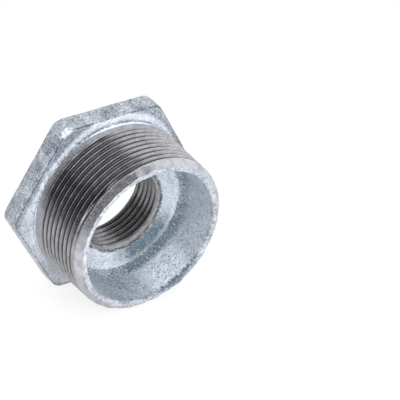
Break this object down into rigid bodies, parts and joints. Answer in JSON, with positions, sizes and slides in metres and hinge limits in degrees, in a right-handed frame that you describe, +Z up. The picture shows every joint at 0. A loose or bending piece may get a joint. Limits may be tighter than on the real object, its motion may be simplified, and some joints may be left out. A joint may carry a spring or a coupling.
{
  "type": "hex bushing",
  "caption": "Hexagon reducing pipe bushing: a tapered 2 in external thread with a hollow end and a 1 in tapped bore through the hexagon.",
  "frame": {"origin": "on the bushing's axis, in the plane of the hexagon's shoulder, where the shank starts", "axes": "+Z up with the bushing lying as it comes to rest, on one flat's edge and the end of its thread; the axis falls 6 degrees towards the open end, which faces -Y; +X runs across the hexagon's corners"},
  "size_m": [0.0734, 0.041, 0.0654],
  "materials": {
    "galvanised_iron": "hot-dip galvanised as cast, with both threads machined to bare grey iron"
  },
  "bodies": {
    "root": {"hex_bushing": "galvanised_iron"}
  },
  "joints": []
}
